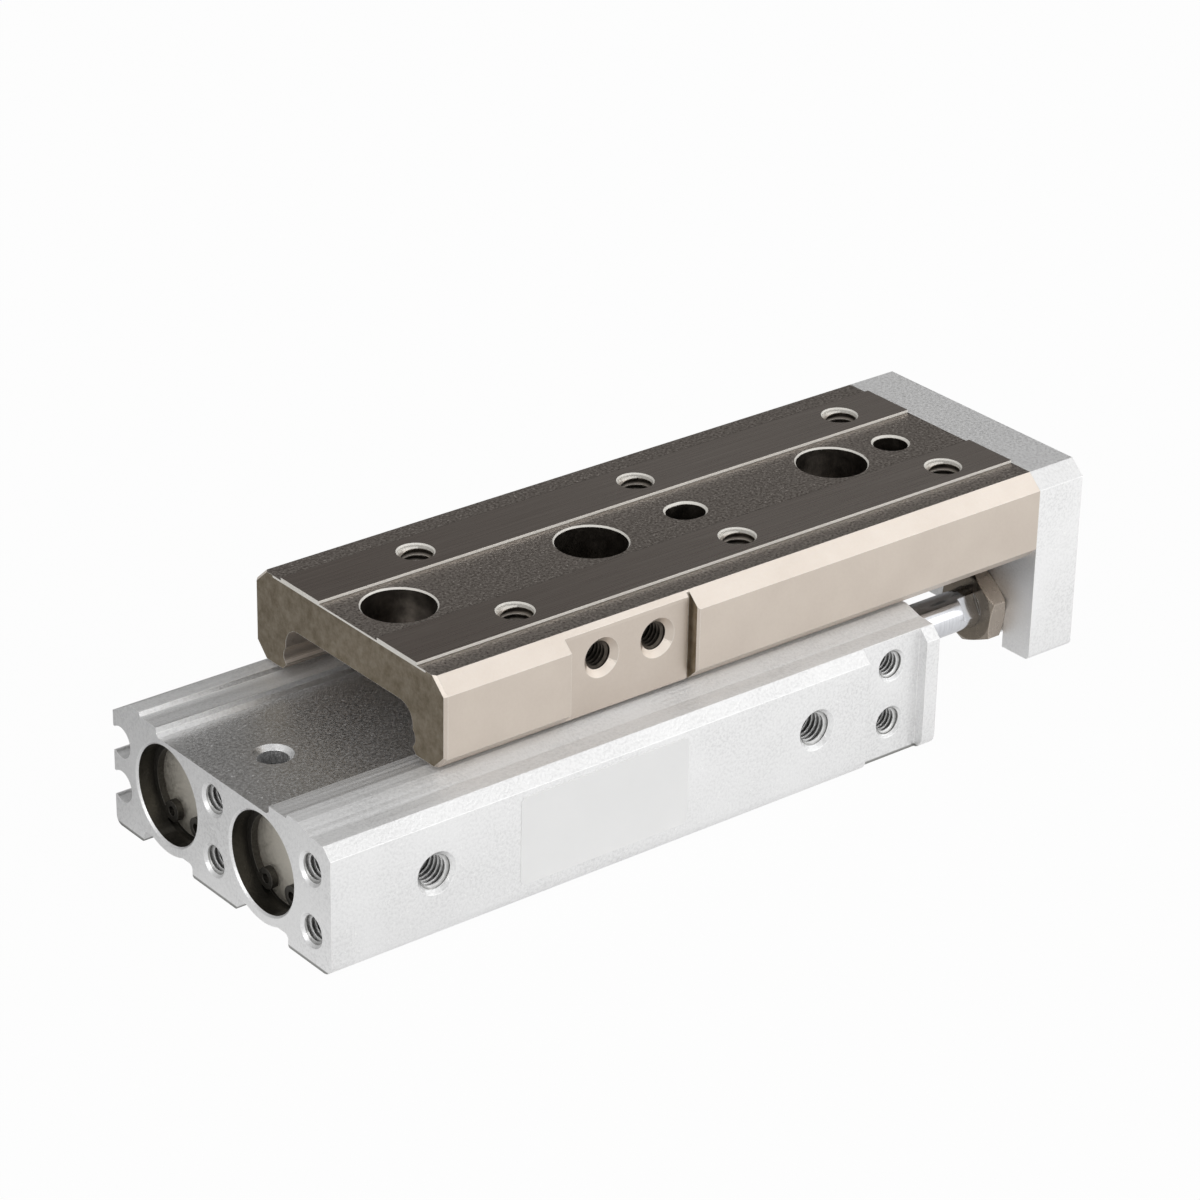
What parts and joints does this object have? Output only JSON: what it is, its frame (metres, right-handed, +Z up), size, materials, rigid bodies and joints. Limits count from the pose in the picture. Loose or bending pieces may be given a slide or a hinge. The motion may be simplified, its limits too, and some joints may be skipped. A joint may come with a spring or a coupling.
{
  "type": "pneumatic slide table",
  "caption": "Air-driven slide table: a steel table with an end plate runs on a ball guide on top of an aluminium body with two cylinders side by side.",
  "frame": {"origin": "On the base plane, on the slide's centreline, half way along the body.", "axes": "+X along the travel, from the head caps to the end plate; +Y away from the air ports, towards the switch grooves; +Z up, from the base to the table."},
  "size_m": [0.1342, 0.0502, 0.0336],
  "materials": {
    "body_aluminium": "bead-blasted, clear anodised extrusion",
    "plate_aluminium": "satin machined and clear anodised",
    "table_steel": "nickel plated, ground on the pads",
    "guide_steel": "ground bearing steel",
    "ball_steel": "polished bearing balls",
    "rod_chrome": "hard chrome plated shaft",
    "fastener_steel": "nickel plated steel",
    "spring_steel": "phosphated spring steel",
    "cap_metal": "plain anodised turning",
    "seal_rubber": "nitrile rubber",
    "resin": "moulded acetal",
    "magnet": "bonded magnet ring",
    "label": "blank satin film"
  },
  "bodies": {
    "cylinder": {"ball_retainer_far": "resin", "ball_retainer_near": "resin", "ball_return_cap_front": "resin", "ball_return_cap_rear": "resin", "cylinder_body": "body_aluminium", "guide_balls_far": "ball_steel", "guide_balls_near": "ball_steel", "guide_block": "guide_steel", "guide_block_screws": "fastener_steel", "head_bumper_far": "seal_rubber", "head_bumper_near": "seal_rubber", "head_cap_circlip_far": "spring_steel", "head_cap_circlip_near": "spring_steel", "head_cap_far": "cap_metal", "head_cap_near": "cap_metal", "head_cap_o_ring_far": "seal_rubber", "head_cap_o_ring_near": "seal_rubber", "rating_label": "label", "return_cap_screws": "fastener_steel", "rod_bumper_far": "seal_rubber", "rod_bumper_near": "seal_rubber", "rod_cover_circlip_far": "spring_steel", "rod_cover_circlip_near": "spring_steel", "rod_cover_far": "cap_metal", "rod_cover_near": "cap_metal", "rod_cover_o_ring_far": "seal_rubber", "rod_cover_o_ring_near": "seal_rubber", "rod_seal_far": "seal_rubber", "rod_seal_near": "seal_rubber"},
    "slide": {"end_plate": "plate_aluminium", "end_plate_screws": "fastener_steel", "piston_far": "cap_metal", "piston_magnet_far": "magnet", "piston_magnet_near": "magnet", "piston_near": "cap_metal", "piston_rod_far": "rod_chrome", "piston_rod_near": "rod_chrome", "piston_seal_far": "seal_rubber", "piston_seal_near": "seal_rubber", "rod_bush_far": "fastener_steel", "rod_bush_near": "fastener_steel", "rod_nut_far": "fastener_steel", "rod_nut_near": "fastener_steel", "slide_table": "table_steel"}
  },
  "joints": [
    {"name": "table_slide", "type": "slide", "parent": "cylinder", "child": "slide", "axis": [1, 0, 0], "range_m": [-0.0203, 0.0297]}
  ]
}
